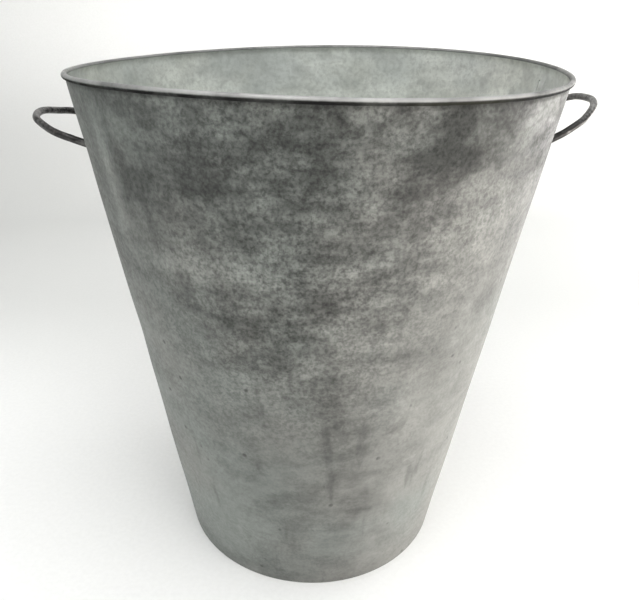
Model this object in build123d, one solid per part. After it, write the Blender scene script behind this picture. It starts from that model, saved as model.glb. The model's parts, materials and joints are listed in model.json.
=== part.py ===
"""Tapered sheet-steel florist bucket with a wired rim, a set-in base and two swinging wire handles.

Frame: origin on the bucket's axis at floor level, +Z up, handles along -X (left) and +X (right).
Units are millimetres. One STEP file is written per piece.
"""

from math import atan2, cos, degrees, pi, radians, sin, sqrt, tan
import os

from build123d import *

# Driving dimensions of the bucket
RIM_DIAMETER = 340.0  # over the rolled rim
HEIGHT = 384.5
FOOT_DIAMETER = 221.6  # outer wall face carried down to the floor
SHEET = 0.6  # galvanised sheet, wall and base

# Rolled rim
RIM_WIRE_DIAMETER = 2.4
RIM_WIRE_PLAY = 0.05  # radial gap between the wire and the sheet round it
RIM_WIRE_BUTT_GAP = 0.5  # gap between the wire's cut ends
NECK_ANGLE = 24.0  # inward lean of the sheet just under the rim
NECK_RADIUS = 12.0
CURL_ANGLE = 300.0  # how far the sheet wraps round the wire

# Hem at the foot and the base pan held in it
HEM_BEND_RADIUS = 0.45  # of the sheet's mid-line
HEM_LIP_LENGTH = 6.0
HEM_PLAY = 0.05  # gap on each side of the pan's flange
FLANGE_START = 1.3  # height of the flange's lower edge
FLANGE_LENGTH = 6.4
PAN_BEND_RADIUS = 1.2  # of the pan's mid-line

# Vertical lock seam, folded inwards, and the sealing solder beside it and round the base
SEAM_AZIMUTH = 3.3  # degrees from +X towards +Y
SEAM_WIDTH = 8.0
SEAM_DEPTH = 2 * SHEET
SEAM_BOTTOM = 14.0
SEAM_TOP = 374.0
SEAM_GROOVE_WIDTH = 0.8  # line left on the outside by the fold
SEAM_GROOVE_DEPTH = 0.25
SEAM_SOLDER_LEG = 1.1
SEAM_SOLDER_INSET = 1.0  # from each end of the seam
SOLDER_LEG = 3.0  # base fillet
SOLDER_FLOOR_ANGLE = 45.0  # where the fillet starts on the pan's bend, above the horizontal
SOLDER_SAG_OUT = 0.75  # hollow middle of the fillet, as parts of its leg: in from the wall
SOLDER_SAG_UP = 0.42  # and up from the disc
SOLDER_GAP = 0.02  # keeps the solder's solid clear of the sheet's

# Wire handles. Both are bent to one shape; their holes were punched a little unevenly.
HANDLE_WIRE_DIAMETER = 5.0
HANDLE_HOLE_DIAMETER = 7.2
HOLE_CUT_LENGTH = 12.0  # of the cutting cylinder, well through the sloping sheet
HANDLE_HALF_SPAN = 41.0  # hole centre to the handle's middle plane, and the loop's bend radius
HANDLE_LEG = 7.2  # straight part outside the wall when the handle is pulled right out
CLINCH_START = 0.8  # depth inside the wall's mid-line where the end starts to turn
CLINCH_BEND_RADIUS = 4.0
CLINCH_LENGTH = 9.0
LEFT_HEIGHT = 337.0  # hole centres
RIGHT_HEIGHT = 340.0
LEFT_TILT = 18.0  # handle plane above the horizontal, at rest
RIGHT_TILT = 29.0
LEFT_PUSHED_IN = 4.2  # how far the ends have slid inwards through their holes, at rest
RIGHT_PUSHED_IN = 0.0

OUT = "parts"
MIDDLE = SHEET / 2
CLEAR = 1.0  # how far a cut runs out past the surface it starts from
TAPER_STEPS = 12  # enough for the taper to settle to under a micrometre


class SheetLine:
    """Mid-line of a bent strip in the radial plane, built from straight runs and tangent bends."""

    def __init__(self, start, heading):
        self.point = start
        self.heading = radians(heading)
        self.runs = []

    def straight(self, length):
        end = (
            self.point[0] + length * cos(self.heading),
            self.point[1] + length * sin(self.heading),
        )
        self.runs.append(("line", self.point, end, self.heading, self.heading, None))
        self.point = end
        return self

    def straight_to_axis(self):
        return self.straight(self.point[0] / -cos(self.heading))

    def bend(self, radius, angle):
        """Positive angles turn left. The centre lies on the side that the bend turns to."""
        side = 1 if angle > 0 else -1
        centre = (
            self.point[0] - side * radius * sin(self.heading),
            self.point[1] + side * radius * cos(self.heading),
        )
        last = self.heading + radians(angle)
        end = (
            centre[0] + side * radius * sin(last),
            centre[1] - side * radius * cos(last),
        )
        self.runs.append(("arc", self.point, end, self.heading, last, (centre, radius, side)))
        self.point, self.heading = end, last
        return self

    def offset_edges(self, left):
        """Edges of the curve that runs `left` millimetres to the left of the mid-line."""
        edges = []
        for kind, start, end, first, last, bend in self.runs:
            a = (start[0] - left * sin(first), start[1] + left * cos(first))
            b = (end[0] - left * sin(last), end[1] + left * cos(last))
            if kind == "line":
                edges.append(Line(on_plane(a), on_plane(b)))
                continue
            centre, radius, side = bend
            reach = side * radius - left
            half = (first + last) / 2
            middle = (centre[0] + reach * sin(half), centre[1] - reach * cos(half))
            edges.append(ThreePointArc(on_plane(a), on_plane(middle), on_plane(b)))
        return edges

    def face(self, thickness):
        left = self.offset_edges(thickness / 2)
        right = self.offset_edges(-thickness / 2)
        caps = [Line(left[0] @ 0, right[0] @ 0), Line(left[-1] @ 1, right[-1] @ 1)]
        return Face(Wire([*left, *right, *caps]))


def on_plane(point):
    """A point (radius, height) placed in the XZ plane."""
    return Vector(point[0], 0, point[1])


def turned(face, angle=360.0):
    return revolve(face, Axis.Z, angle)


# Rim bead: the sheet's mid-line runs round the wire at CURL_RADIUS
CURL_RADIUS = RIM_WIRE_DIAMETER / 2 + RIM_WIRE_PLAY + MIDDLE
BEAD_RADIUS = CURL_RADIUS + MIDDLE


def neck_offsets(taper):
    """Run from the neck's start on the wall's mid-line to the bead's centre: (radius, height)."""
    lean = radians(NECK_ANGLE)
    first = pi / 2 - taper
    last = first + lean
    out = NECK_RADIUS * (sin(last) - sin(first)) + CURL_RADIUS * sin(last)
    up = NECK_RADIUS * (cos(first) - cos(last)) - CURL_RADIUS * cos(last)
    return out, up


def solve_taper():
    """Wall taper that makes the rim and the foot come out at their stated diameters."""
    taper = 0.0
    for _ in range(TAPER_STEPS):
        out, up = neck_offsets(taper)
        neck_radius = RIM_DIAMETER / 2 - BEAD_RADIUS - out
        neck_height = HEIGHT - BEAD_RADIUS - up
        foot_radius = FOOT_DIAMETER / 2 - MIDDLE / cos(taper)
        taper = atan2(neck_radius - foot_radius, neck_height)
    return taper, neck_radius, neck_height


TAPER, NECK_START_RADIUS, NECK_START_HEIGHT = solve_taper()
BEAD_CENTRE_RADIUS = RIM_DIAMETER / 2 - BEAD_RADIUS
BEAD_CENTRE_HEIGHT = HEIGHT - BEAD_RADIUS
UPWARD = 90.0 - degrees(TAPER)  # heading of the wall, going up


def wall_radius(height, inside=MIDDLE):
    """Radius of the wall at a height, `inside` millimetres in from its outer face."""
    return FOOT_DIAMETER / 2 + height * tan(TAPER) - inside / cos(TAPER)


def wall_line():
    """Lip, hem, wall, neck and curl as one bent strip."""
    gap = SHEET + 2 * HEM_PLAY + SHEET
    flat = (gap - 2 * HEM_BEND_RADIUS) / cos(TAPER)
    turn_out = 90.0 + degrees(TAPER)
    turn_up = 90.0 - degrees(TAPER)
    wall_start_height = MIDDLE + HEM_BEND_RADIUS * (1 - sin(TAPER))
    wall_start_radius = wall_radius(wall_start_height)
    lip_end_radius = wall_start_radius - 2 * HEM_BEND_RADIUS * cos(TAPER) - flat
    lip_end_height = wall_start_height + 2 * HEM_BEND_RADIUS * sin(TAPER)
    lip_start = (
        lip_end_radius + HEM_LIP_LENGTH * sin(TAPER),
        lip_end_height + HEM_LIP_LENGTH * cos(TAPER),
    )
    wall_length = (NECK_START_HEIGHT - wall_start_height) / cos(TAPER)
    line = SheetLine(lip_start, UPWARD - 180.0)
    line.straight(HEM_LIP_LENGTH).bend(HEM_BEND_RADIUS, turn_out).straight(flat)
    line.bend(HEM_BEND_RADIUS, turn_up).straight(wall_length)
    return line.bend(NECK_RADIUS, NECK_ANGLE).bend(CURL_RADIUS, -CURL_ANGLE)


def cone_band(low, high, outer, inner):
    """Conical shell between two depths from the wall's outer face."""
    corners = [
        (wall_radius(low, outer), low),
        (wall_radius(high, outer), high),
        (wall_radius(high, inner), high),
        (wall_radius(low, inner), low),
    ]
    points = [on_plane(c) for c in corners]
    return turned(Face(Wire([Line(a, b) for a, b in zip(points, points[1:] + points[:1])])))


def seam_block(middle, width):
    """Upright block `middle` millimetres round the wall from the seam's centre."""
    reach = RIM_DIAMETER
    block = Pos(reach / 2, middle, HEIGHT / 2) * Box(reach, width, 2 * HEIGHT)
    return Rot(0, 0, SEAM_AZIMUTH) * block


def handle_holes():
    """Cutting cylinders of the four holes, square to the wall's slope."""
    drills = []
    for side, height in ((-1, LEFT_HEIGHT), (1, RIGHT_HEIGHT)):
        for across in (-HANDLE_HALF_SPAN, HANDLE_HALF_SPAN):
            place = Pos(side * handle_offset(height), across, height)
            lean = Rot(0, side * (90.0 + degrees(TAPER)), 0)
            drills.append(place * lean * Cylinder(HANDLE_HOLE_DIAMETER / 2, HOLE_CUT_LENGTH))
    return drills


def handle_offset(height):
    """Distance from the bucket's axis to the line through a pair of holes."""
    return sqrt(wall_radius(height) ** 2 - HANDLE_HALF_SPAN**2)


def make_wall():
    wall = turned(wall_line().face(SHEET))
    strip = cone_band(SEAM_BOTTOM, SEAM_TOP, MIDDLE, SHEET + SEAM_DEPTH)
    wall = wall + (strip & seam_block(0, SEAM_WIDTH))
    groove = cone_band(SEAM_BOTTOM, SEAM_TOP, -CLEAR, SEAM_GROOVE_DEPTH)
    wall = wall - (groove & seam_block(-SEAM_WIDTH / 2, SEAM_GROOVE_WIDTH))
    for drill in handle_holes():
        wall = wall - drill
    return wall


def make_rim_wire():
    place = Plane(origin=(BEAD_CENTRE_RADIUS, 0, BEAD_CENTRE_HEIGHT), z_dir=(0, -1, 0))
    section = place * Circle(RIM_WIRE_DIAMETER / 2)
    gap_angle = degrees(RIM_WIRE_BUTT_GAP / BEAD_CENTRE_RADIUS)
    ring = revolve(section, Axis.Z, 360.0 - gap_angle)
    return Rot(0, 0, SEAM_AZIMUTH + gap_angle / 2) * ring


def pan_line():
    """Flange, bend and disc of the base, from the flange's lower edge to the axis."""
    start = (wall_radius(FLANGE_START, MIDDLE + SHEET + HEM_PLAY), FLANGE_START)
    line = SheetLine(start, UPWARD).straight(FLANGE_LENGTH)
    return line.bend(PAN_BEND_RADIUS, 90.0 + degrees(TAPER)).straight_to_axis()


def make_base_pan():
    return turned(pan_line().face(SHEET))


def circle_point(centre, radius, angle):
    """Point on a circle, `angle` degrees above the outward horizontal."""
    turn = radians(angle)
    return centre[0] + radius * cos(turn), centre[1] + radius * sin(turn)


def make_base_solder():
    """Concave sealing fillet in the corner between the pan and the wall."""
    bend_run = pan_line().runs[1]
    disc_edge = bend_run[2]
    centre, radius, _ = bend_run[5]
    reach = radius + MIDDLE + SOLDER_GAP
    wall_face = SHEET + SOLDER_GAP
    disc_top = disc_edge[1] + MIDDLE + SOLDER_GAP
    fillet_top = disc_top + SOLDER_LEG
    low = circle_point(centre, reach, SOLDER_FLOOR_ANGLE)
    round_middle = circle_point(centre, reach, (SOLDER_FLOOR_ANGLE + 90.0) / 2)
    over = (disc_edge[0], disc_top)
    inner = (disc_edge[0] - SOLDER_LEG, disc_top)
    corner = (wall_radius(low[1], wall_face), low[1])
    high = (wall_radius(fillet_top, wall_face), fillet_top)
    sag = (corner[0] - SOLDER_SAG_OUT * SOLDER_LEG, disc_top + SOLDER_SAG_UP * SOLDER_LEG)
    edges = [
        Line(on_plane(corner), on_plane(high)),
        ThreePointArc(on_plane(high), on_plane(sag), on_plane(inner)),
        Line(on_plane(inner), on_plane(over)),
        ThreePointArc(on_plane(over), on_plane(round_middle), on_plane(low)),
        Line(on_plane(low), on_plane(corner)),
    ]
    return turned(Face(Wire(edges)))


def make_seam_solder():
    """Sealing run along the far side of the seam's fold."""
    low, high = SEAM_BOTTOM + SEAM_SOLDER_INSET, SEAM_TOP - SEAM_SOLDER_INSET
    band = cone_band(low, high, SHEET + SOLDER_GAP, SHEET + SEAM_SOLDER_LEG)
    middle = SEAM_WIDTH / 2 + SOLDER_GAP + SEAM_SOLDER_LEG / 2
    return band & seam_block(middle, SEAM_SOLDER_LEG)


def handle_path():
    """Handle's mid-line in its own plane: x outwards from the hinge line, y along it."""
    turn = radians(45.0)
    clinch_centre = (-CLINCH_START, HANDLE_HALF_SPAN - CLINCH_BEND_RADIUS)
    points = {
        "hook": (clinch_centre[0] - CLINCH_BEND_RADIUS, clinch_centre[1]),
        "bend": (
            clinch_centre[0] - CLINCH_BEND_RADIUS * sin(turn),
            clinch_centre[1] + CLINCH_BEND_RADIUS * cos(turn),
        ),
        "inside": (-CLINCH_START, HANDLE_HALF_SPAN),
        "outside": (HANDLE_LEG, HANDLE_HALF_SPAN),
    }
    points["tip"] = (points["hook"][0], points["hook"][1] - CLINCH_LENGTH)
    near = {name: Vector(x, y) for name, (x, y) in points.items()}
    far = {name: Vector(x, -y) for name, (x, y) in points.items()}
    crown = Vector(HANDLE_LEG + HANDLE_HALF_SPAN, 0)
    return Wire(
        [
            Line(near["tip"], near["hook"]),
            ThreePointArc(near["hook"], near["bend"], near["inside"]),
            Line(near["inside"], near["outside"]),
            ThreePointArc(near["outside"], crown, far["outside"]),
            Line(far["outside"], far["inside"]),
            ThreePointArc(far["inside"], far["bend"], far["hook"]),
            Line(far["hook"], far["tip"]),
        ]
    )


def make_handle(side, height, tilt, pushed_in):
    """Handle wire at rest. `side` is -1 for the left handle and 1 for the right one."""
    path = handle_path()
    section = Plane(origin=path @ 0, z_dir=path % 0) * Circle(HANDLE_WIRE_DIAMETER / 2)
    wire = Rot(0, -tilt, 0) * Pos(-pushed_in, 0, 0) * sweep(section, path)
    if side < 0:
        wire = Rot(0, 0, 180) * wire
    return Pos(side * handle_offset(height), 0, height) * wire


def make_left_handle():
    return make_handle(-1, LEFT_HEIGHT, LEFT_TILT, LEFT_PUSHED_IN)


def make_right_handle():
    return make_handle(1, RIGHT_HEIGHT, RIGHT_TILT, RIGHT_PUSHED_IN)


PIECES = {
    "wall_sheet": make_wall,
    "rim_wire": make_rim_wire,
    "base_pan": make_base_pan,
    "base_solder": make_base_solder,
    "seam_solder": make_seam_solder,
    "left_handle": make_left_handle,
    "right_handle": make_right_handle,
}

os.makedirs(OUT, exist_ok=True)
for name, make in PIECES.items():
    export_step(make(), f"{OUT}/{name}.step")
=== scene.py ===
"""Looks for the florist bucket: aged zinc sheet, rolled rim, lock seam, solder and wire handles."""

import json
import math
from types import SimpleNamespace

import bmesh
import bpy
import numpy as np
from mathutils import Matrix, Vector


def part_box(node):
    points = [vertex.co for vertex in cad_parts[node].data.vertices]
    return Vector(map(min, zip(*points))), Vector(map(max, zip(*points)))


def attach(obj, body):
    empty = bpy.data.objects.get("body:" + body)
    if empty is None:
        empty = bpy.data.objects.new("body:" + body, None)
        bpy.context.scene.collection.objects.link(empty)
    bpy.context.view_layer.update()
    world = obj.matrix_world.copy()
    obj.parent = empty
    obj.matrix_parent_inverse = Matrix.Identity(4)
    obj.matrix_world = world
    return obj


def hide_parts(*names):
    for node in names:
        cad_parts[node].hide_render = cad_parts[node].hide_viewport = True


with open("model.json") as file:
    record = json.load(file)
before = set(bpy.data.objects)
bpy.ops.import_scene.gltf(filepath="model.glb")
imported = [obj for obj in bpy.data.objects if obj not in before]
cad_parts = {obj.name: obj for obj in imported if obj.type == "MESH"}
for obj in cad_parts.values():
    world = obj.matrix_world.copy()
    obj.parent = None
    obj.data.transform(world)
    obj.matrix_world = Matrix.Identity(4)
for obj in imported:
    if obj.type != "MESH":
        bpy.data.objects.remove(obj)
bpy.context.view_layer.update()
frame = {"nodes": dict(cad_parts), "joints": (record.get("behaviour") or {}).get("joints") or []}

# ---------------------------------------------------------------- sizes, in metres and radians
MM = 0.001
SHEET = 0.6 * MM
HALF = SHEET / 2

FOOT_RADIUS = 110.8 * MM
FOOT_BEND = 0.45 * MM
FOOT_GAP = 0.1 * MM
LIP = 6 * MM

NECK_ANGLE = math.radians(24)
NECK_RADIUS = 12 * MM
NECK_POINTS = 6
CURL_DEGREES = 300.0
CURL_POINTS = 34

SEAM_AZIMUTH = math.radians(3.3)
SEAM_WIDTH = 8 * MM
SEAM_DEPTH = 1.2 * MM
SEAM_FOOT = 13.5 * MM
SEAM_TOP = 374.5 * MM
GROOVE_HALF = 0.9 * MM
GROOVE_DEPTH = 0.3 * MM
GROOVE_FOOT = 6 * MM
GROOVE_TOP = 376.5 * MM

PAN_FOOT = 1.3 * MM
PAN_FLANGE = 6.4 * MM
PAN_BEND = 1.2 * MM
PAN_FREE_RADIUS = 107 * MM
PAN_DISH = 1.1 * MM
SOLDER_GAP = 0.02 * MM

HANDLE_HALF_SPAN = 41 * MM
HANDLE_LEG = 7.2 * MM
HANDLE_REACH = HANDLE_LEG + HANDLE_HALF_SPAN
HANDLE_WIRE_RADIUS = 2.5 * MM
CLINCH_START = 0.8 * MM
CLINCH_BEND = 4 * MM
CLINCH_LENGTH = 9 * MM

WALL_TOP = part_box("wall_sheet")[1]
WIRE_LOW, WIRE_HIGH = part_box("rim_wire")
PAN_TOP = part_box("base_pan")[1].z
HEIGHT = WALL_TOP.z
RIM_RADIUS = round(WALL_TOP.y, 4)  # the frame's faceted circle falls a hair short of it
WIRE_RADIUS = (WIRE_HIGH.z - WIRE_LOW.z) / 2
BEAD_Z = (WIRE_HIGH.z + WIRE_LOW.z) / 2
CURL_RADIUS = HEIGHT - BEAD_Z - HALF
BEAD_R = RIM_RADIUS - CURL_RADIUS - HALF


def neck_run(taper):
    """Distance out and up from the neck's start on the wall's mid-line to the bead's centre."""
    first = math.pi / 2 - taper
    last = first + NECK_ANGLE
    out = NECK_RADIUS * (math.sin(last) - math.sin(first)) + CURL_RADIUS * math.sin(last)
    up = NECK_RADIUS * (math.cos(first) - math.cos(last)) - CURL_RADIUS * math.cos(last)
    return out, up


def solve_taper():
    """The wall's lean from upright, and the height where its neck starts."""
    taper = 0.0
    for _ in range(12):
        out, up = neck_run(taper)
        neck_z = BEAD_Z - up
        taper = math.atan2(BEAD_R - out - FOOT_RADIUS + HALF / math.cos(taper), neck_z)
    return taper, neck_z


TAPER, NECK_Z = solve_taper()


def wall_mid(z):
    """Radius of the wall's mid-line at height z."""
    return FOOT_RADIUS - HALF / math.cos(TAPER) + z * math.tan(TAPER)


def solder_face(z):
    """Radius at height z where solder ends, a hair inside the wall's inner face."""
    return wall_mid(z) - HALF / math.cos(TAPER) - SOLDER_GAP


def wrap(angle):
    """The same angle between minus and plus half a turn."""
    return (angle + np.pi) % (2 * np.pi) - np.pi


def step(x):
    """Smooth rise from 0 at x = 0 to 1 at x = 1."""
    x = np.clip(x, 0, 1)
    return x * x * (3 - 2 * x)


# ---------------------------------------------------------------- unevenness shared by every piece
RIM_OVAL = 0.82 * MM
RIM_THREE_LOBES = 0.29 * MM
RIM_TILT = (1.54 * MM, -0.30 * MM)
RIM_TWIST = (1.88 * MM, -1.14 * MM, 0.27 * MM)
RIPPLE_COUNT = 26
RIPPLE_DEPTH = 0.045 * MM
HOLE_RADIUS = 3.75 * MM
HOLE_CALM_REACH = 18 * MM
HOLE_SINK = 0.3 * MM
HOLE_SINK_REACH = 5.5 * MM

RNG = np.random.default_rng(4207)
# waves round the wall, waves up it, phase, strength
RIPPLES = [
    (int(RNG.integers(3, 22)), RNG.uniform(-70, 70), RNG.uniform(0, 6.28), RNG.uniform(0.3, 1))
    for _ in range(RIPPLE_COUNT)
]
# azimuth in radians, height, reach round, reach up, depth
DENTS = [
    (-2.85, 0.200, 0.030, 0.024, 0.0008),
    (-2.36, 0.352, 0.008, 0.030, -0.0006),
    (-2.30, 0.350, 0.007, 0.040, 0.0006),
    (-1.85, 0.130, 0.026, 0.040, 0.0007),
    (-1.05, 0.215, 0.030, 0.022, 0.0009),
    (-0.62, 0.300, 0.022, 0.018, 0.0008),
    (0.20, 0.110, 0.022, 0.028, 0.0007),
    (0.95, 0.240, 0.034, 0.026, 0.0010),
    (1.90, 0.120, 0.028, 0.034, 0.0008),
    (2.55, 0.300, 0.024, 0.030, 0.0007),
]


def warp(az, z):
    """Outward shift of the sheet: rim out of round, soft dents, and ripples calmer at foot and rim."""
    az, z = np.broadcast_arrays(np.asarray(az, float), np.asarray(z, float))
    up = np.clip(z / HEIGHT, 0, 1)
    shift = up**3 * (RIM_OVAL * np.cos(2 * az) + RIM_THREE_LOBES * np.sin(3 * az))
    radius = wall_mid(z)
    for at, height, wide, tall, depth in DENTS:
        near = (wrap(az - at) * radius / wide) ** 2 + ((z - height) / tall) ** 2
        shift = shift - depth * np.exp(-near)
    body = step(z / 0.05) * (1 - 0.7 * step((z - 0.33) / 0.05))
    for waves, rate, phase, size in RIPPLES:
        shift = shift + body * RIPPLE_DEPTH * size * np.sin(waves * az + rate * z + phase)
    return shift


def lift(az, z):
    """Upward shift of the sheet towards the rim, which isn't quite level or flat."""
    up = np.clip(z / HEIGHT, 0, 1)
    tilt = RIM_TILT[0] * np.cos(az) + RIM_TILT[1] * np.sin(az)
    saddle = RIM_TWIST[0] * np.sin(2 * az) + RIM_TWIST[1] * np.cos(2 * az)
    return up**3 * (tilt + saddle + RIM_TWIST[2] * np.cos(3 * az))


def hole_places():
    """Azimuth and height of each handle hole on the even sheet, and how far the sheet is out there."""
    places = []
    for joint in frame["joints"]:
        x, _, seen = joint["pos_m"]
        for side in (1, -1):
            at = math.atan2(side * HANDLE_HALF_SPAN, x)
            height = seen - float(lift(at, seen))
            out = float(warp(at, height)) + wall_mid(height) - wall_mid(seen)
            places.append((at, height, out))
    return places


HOLES = hole_places()


def sway(az, z):
    """Outward shift of the sheet, drawn back to the handles' wires round their holes."""
    shift = warp(az, z)
    radius = wall_mid(z)
    for at, height, out in HOLES:
        apart = (wrap(az - at) * radius) ** 2 + (z - height) ** 2
        shift = shift - out * np.exp(-apart / HOLE_CALM_REACH**2)
        shift = shift - HOLE_SINK * np.exp(-apart / HOLE_SINK_REACH**2)
    return shift


def place(az, r, z):
    """Points from azimuth, radius and height, carried along with the sheet's unevenness."""
    moved = r + sway(az, z)
    return np.stack([moved * np.cos(az), moved * np.sin(az), z + lift(az, z)], -1)


# ---------------------------------------------------------------- mesh helpers
def across(values, count):
    """Grid with one row per value, which fills its row."""
    return np.repeat(np.asarray(values)[:, None], count, 1)


def along(values, count):
    """Grid whose rows all hold the same values."""
    return np.repeat(np.asarray(values)[None], count, 0)


def full_turn(count, first=-np.pi):
    """Evenly spaced angles of a whole turn, without the last one that equals the first."""
    return np.linspace(first, first + 2 * np.pi, count, endpoint=False)


def make_object(name, points, faces, sharp=40.0):
    """Mesh object with smooth shading, except at edges sharper than the angle in degrees."""
    mesh = bpy.data.meshes.new(name)
    mesh.from_pydata(np.asarray(points).reshape(-1, 3).tolist(), [], faces)
    mesh.validate()
    mesh.polygons.foreach_set("use_smooth", [True] * len(mesh.polygons))
    mesh.set_sharp_from_angle(angle=math.radians(sharp))
    obj = bpy.data.objects.new(name, mesh)
    bpy.context.scene.collection.objects.link(obj)
    return obj


def drop_unused_points(obj):
    """Take out the points that no face uses, such as those of the grid inside the handle holes."""
    mesh = bmesh.new()
    mesh.from_mesh(obj.data)
    unused = [v for v in mesh.verts if not v.link_faces]
    bmesh.ops.delete(mesh, geom=unused, context="VERTS")
    mesh.to_mesh(obj.data)
    mesh.free()


def set_attribute(obj, name, values):
    """Per-point value that the materials read by its name."""
    layer = obj.data.attributes.new(name, "FLOAT", "POINT")
    layer.data.foreach_set("value", np.asarray(values, np.float32).ravel())


def ring_faces(columns, rows, skip=frozenset()):
    """Quads of a closed profile swept round a closed ring, except the (column, row) cells to skip."""
    faces = []
    for i in range(columns):
        j = (i + 1) % columns
        for k in range(rows):
            if (i, k) in skip:
                continue
            m = (k + 1) % rows
            faces.append((i * rows + k, j * rows + k, j * rows + m, i * rows + m))
    return faces


def tube_faces(rings, sides, flip=False):
    """Quads and two end caps of a closed profile swept along an open line."""
    faces = []
    for i in range(rings - 1):
        for k in range(sides):
            m = (k + 1) % sides
            faces.append((i * sides + k, (i + 1) * sides + k, (i + 1) * sides + m, i * sides + m))
    faces.append(tuple(range(sides)))
    faces.append(tuple(reversed([(rings - 1) * sides + k for k in range(sides)])))
    return [face[::-1] for face in faces] if flip else faces


# ---------------------------------------------------------------- wall sheet
WALL_COLUMNS = 480
WALL_ROWS = 168
FIRST_COLUMN = 0.0005 - np.pi
MIDDLE_RADIUS = 140 * MM
SEAM_EDGE_COLUMNS = 9
SEAM_EDGE_REACH = 0.006
SEAM_EDGE_CLEARANCE = 0.0025
BEND_POINTS = 6
HOLE_RING = 3
HOLE_RING_REACH = 7


def bend(point, heading, radius, angle, count):
    """Mid-line points and headings round a bend; positive angles turn left."""
    side = 1 if angle > 0 else -1
    centre_r = point[0] - side * radius * math.sin(heading)
    centre_z = point[1] + side * radius * math.cos(heading)
    run = []
    for i in range(1, count + 1):
        h = heading + angle * i / count
        run.append((centre_r + side * radius * math.sin(h), centre_z - side * radius * math.cos(h), h))
    return run


def offset(run, left):
    """A face of the sheet: the mid-line's points moved to the left of their headings."""
    return [(r - left * math.sin(h), z + left * math.cos(h)) for r, z, h in run]


def foot_run():
    """Mid-line of the foot's fold, from the lip's edge to the wall."""
    lean = math.pi / 2 - TAPER
    down = lean - math.pi
    wall_z = HALF + FOOT_BEND * (1 - math.sin(TAPER))
    flat = (2 * SHEET + FOOT_GAP - 2 * FOOT_BEND) / math.cos(TAPER)
    lip_r = wall_mid(wall_z) - 2 * FOOT_BEND * math.cos(TAPER) - flat
    lip_z = wall_z + 2 * FOOT_BEND * math.sin(TAPER)
    run = []
    for back in np.linspace(LIP, 0, BEND_POINTS):
        run.append((lip_r - back * math.cos(down), lip_z - back * math.sin(down), down))
    run += bend(run[-1], down, FOOT_BEND, math.pi / 2 + TAPER, BEND_POINTS)
    run.append((run[-1][0] + flat, run[-1][1], 0.0))
    return run + bend(run[-1], 0.0, FOOT_BEND, lean, BEND_POINTS)


def rim_run():
    """Mid-line of the neck and the curl, from just above the wall's top."""
    lean = math.pi / 2 - TAPER
    start = (wall_mid(NECK_Z), NECK_Z, lean)
    run = bend(start, lean, NECK_RADIUS, NECK_ANGLE, NECK_POINTS)
    return run + bend(run[-1], run[-1][2], CURL_RADIUS, -math.radians(CURL_DEGREES), CURL_POINTS)


def wall_azimuths():
    """Even spacing, with closer columns at the seam's edges."""
    edge = SEAM_WIDTH / 2 / MIDDLE_RADIUS
    extra = []
    for side in (-1, 1):
        beside = np.linspace(-SEAM_EDGE_REACH, SEAM_EDGE_REACH, SEAM_EDGE_COLUMNS)
        extra += list(SEAM_AZIMUTH + side * edge + beside)
    base = full_turn(WALL_COLUMNS, FIRST_COLUMN)
    keep = [a for a in base if min(abs(a - e) for e in extra) > SEAM_EDGE_CLEARANCE]
    return np.array(sorted(keep + extra))


def wall_heights():
    """Heights of the wall's rows, from just above the foot's fold to the neck."""
    start = foot_run()[-1][1]
    return np.concatenate([[start + 1.2 * MM], np.linspace(start + 4 * MM, NECK_Z, WALL_ROWS)])


def square_angle(di, dk):
    """Angle round the hole for a place on a square ring, evenly spread along the ring's sides."""
    ring = max(abs(di), abs(dk))
    if abs(di) >= abs(dk):
        middle, slant = (0.0, 1) if di > 0 else (math.pi, -1)
        return middle + slant * math.pi / 4 * dk / ring
    middle, slant = (math.pi / 2, -1) if dk > 0 else (-math.pi / 2, 1)
    return middle + slant * math.pi / 4 * di / ring


def pierce(az, z, columns, rows):
    """Bend the grid into a circle round each hole. Returns the cells to leave out and the loops."""
    gone, loops = set(), []
    for at, height, _ in HOLES:
        radius = wall_mid(height)
        middle_i = int(np.argmin(np.abs(wrap(columns - at))))
        middle_k = int(np.argmin(np.abs(rows - height)))
        loop = []
        for di in range(1 - HOLE_RING_REACH, HOLE_RING_REACH):
            for dk in range(1 - HOLE_RING_REACH, HOLE_RING_REACH):
                ring = max(abs(di), abs(dk))
                if ring < HOLE_RING:
                    continue
                i = (middle_i + di) % len(columns)
                k = middle_k + dk
                turn = square_angle(di, dk)
                pull = (1 - (ring - HOLE_RING) / (HOLE_RING_REACH - HOLE_RING)) ** 1.5
                u = pull * HOLE_RADIUS * math.cos(turn) + (1 - pull) * wrap(columns[i] - at) * radius
                v = pull * HOLE_RADIUS * math.sin(turn) + (1 - pull) * (rows[k] - height)
                az[i, k] = at + u / radius
                z[i, k] = height + v
                if ring == HOLE_RING:
                    loop.append((turn % (2 * math.pi), i, k))
        for di in range(-HOLE_RING, HOLE_RING):
            for dk in range(-HOLE_RING, HOLE_RING):
                gone.add(((middle_i + di) % len(columns), middle_k + dk))
        loops.append([(i, k) for _, i, k in sorted(loop)])
    return gone, loops


def seam_shape(az, z, r):
    """How far the folded seam stands in from the wall, 0 to 1."""
    sideways = np.abs(wrap(az - SEAM_AZIMUTH)) * r
    flat = 1 - step((sideways - SEAM_WIDTH / 2 + HALF) / SHEET)
    return flat * step((z - SEAM_FOOT) / (2 * MM)) * step((SEAM_TOP - z) / (3 * MM))


def groove_shape(az, z, r):
    """How deep the seam's line outside is pressed in, 0 to 1."""
    sideways = np.abs(wrap(az - SEAM_AZIMUTH) * r + SEAM_WIDTH / 2)
    deep = 1 - step(sideways / GROOVE_HALF)
    return deep * step((z - GROOVE_FOOT) / (4 * MM)) * step((GROOVE_TOP - z) / (3 * MM))


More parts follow.
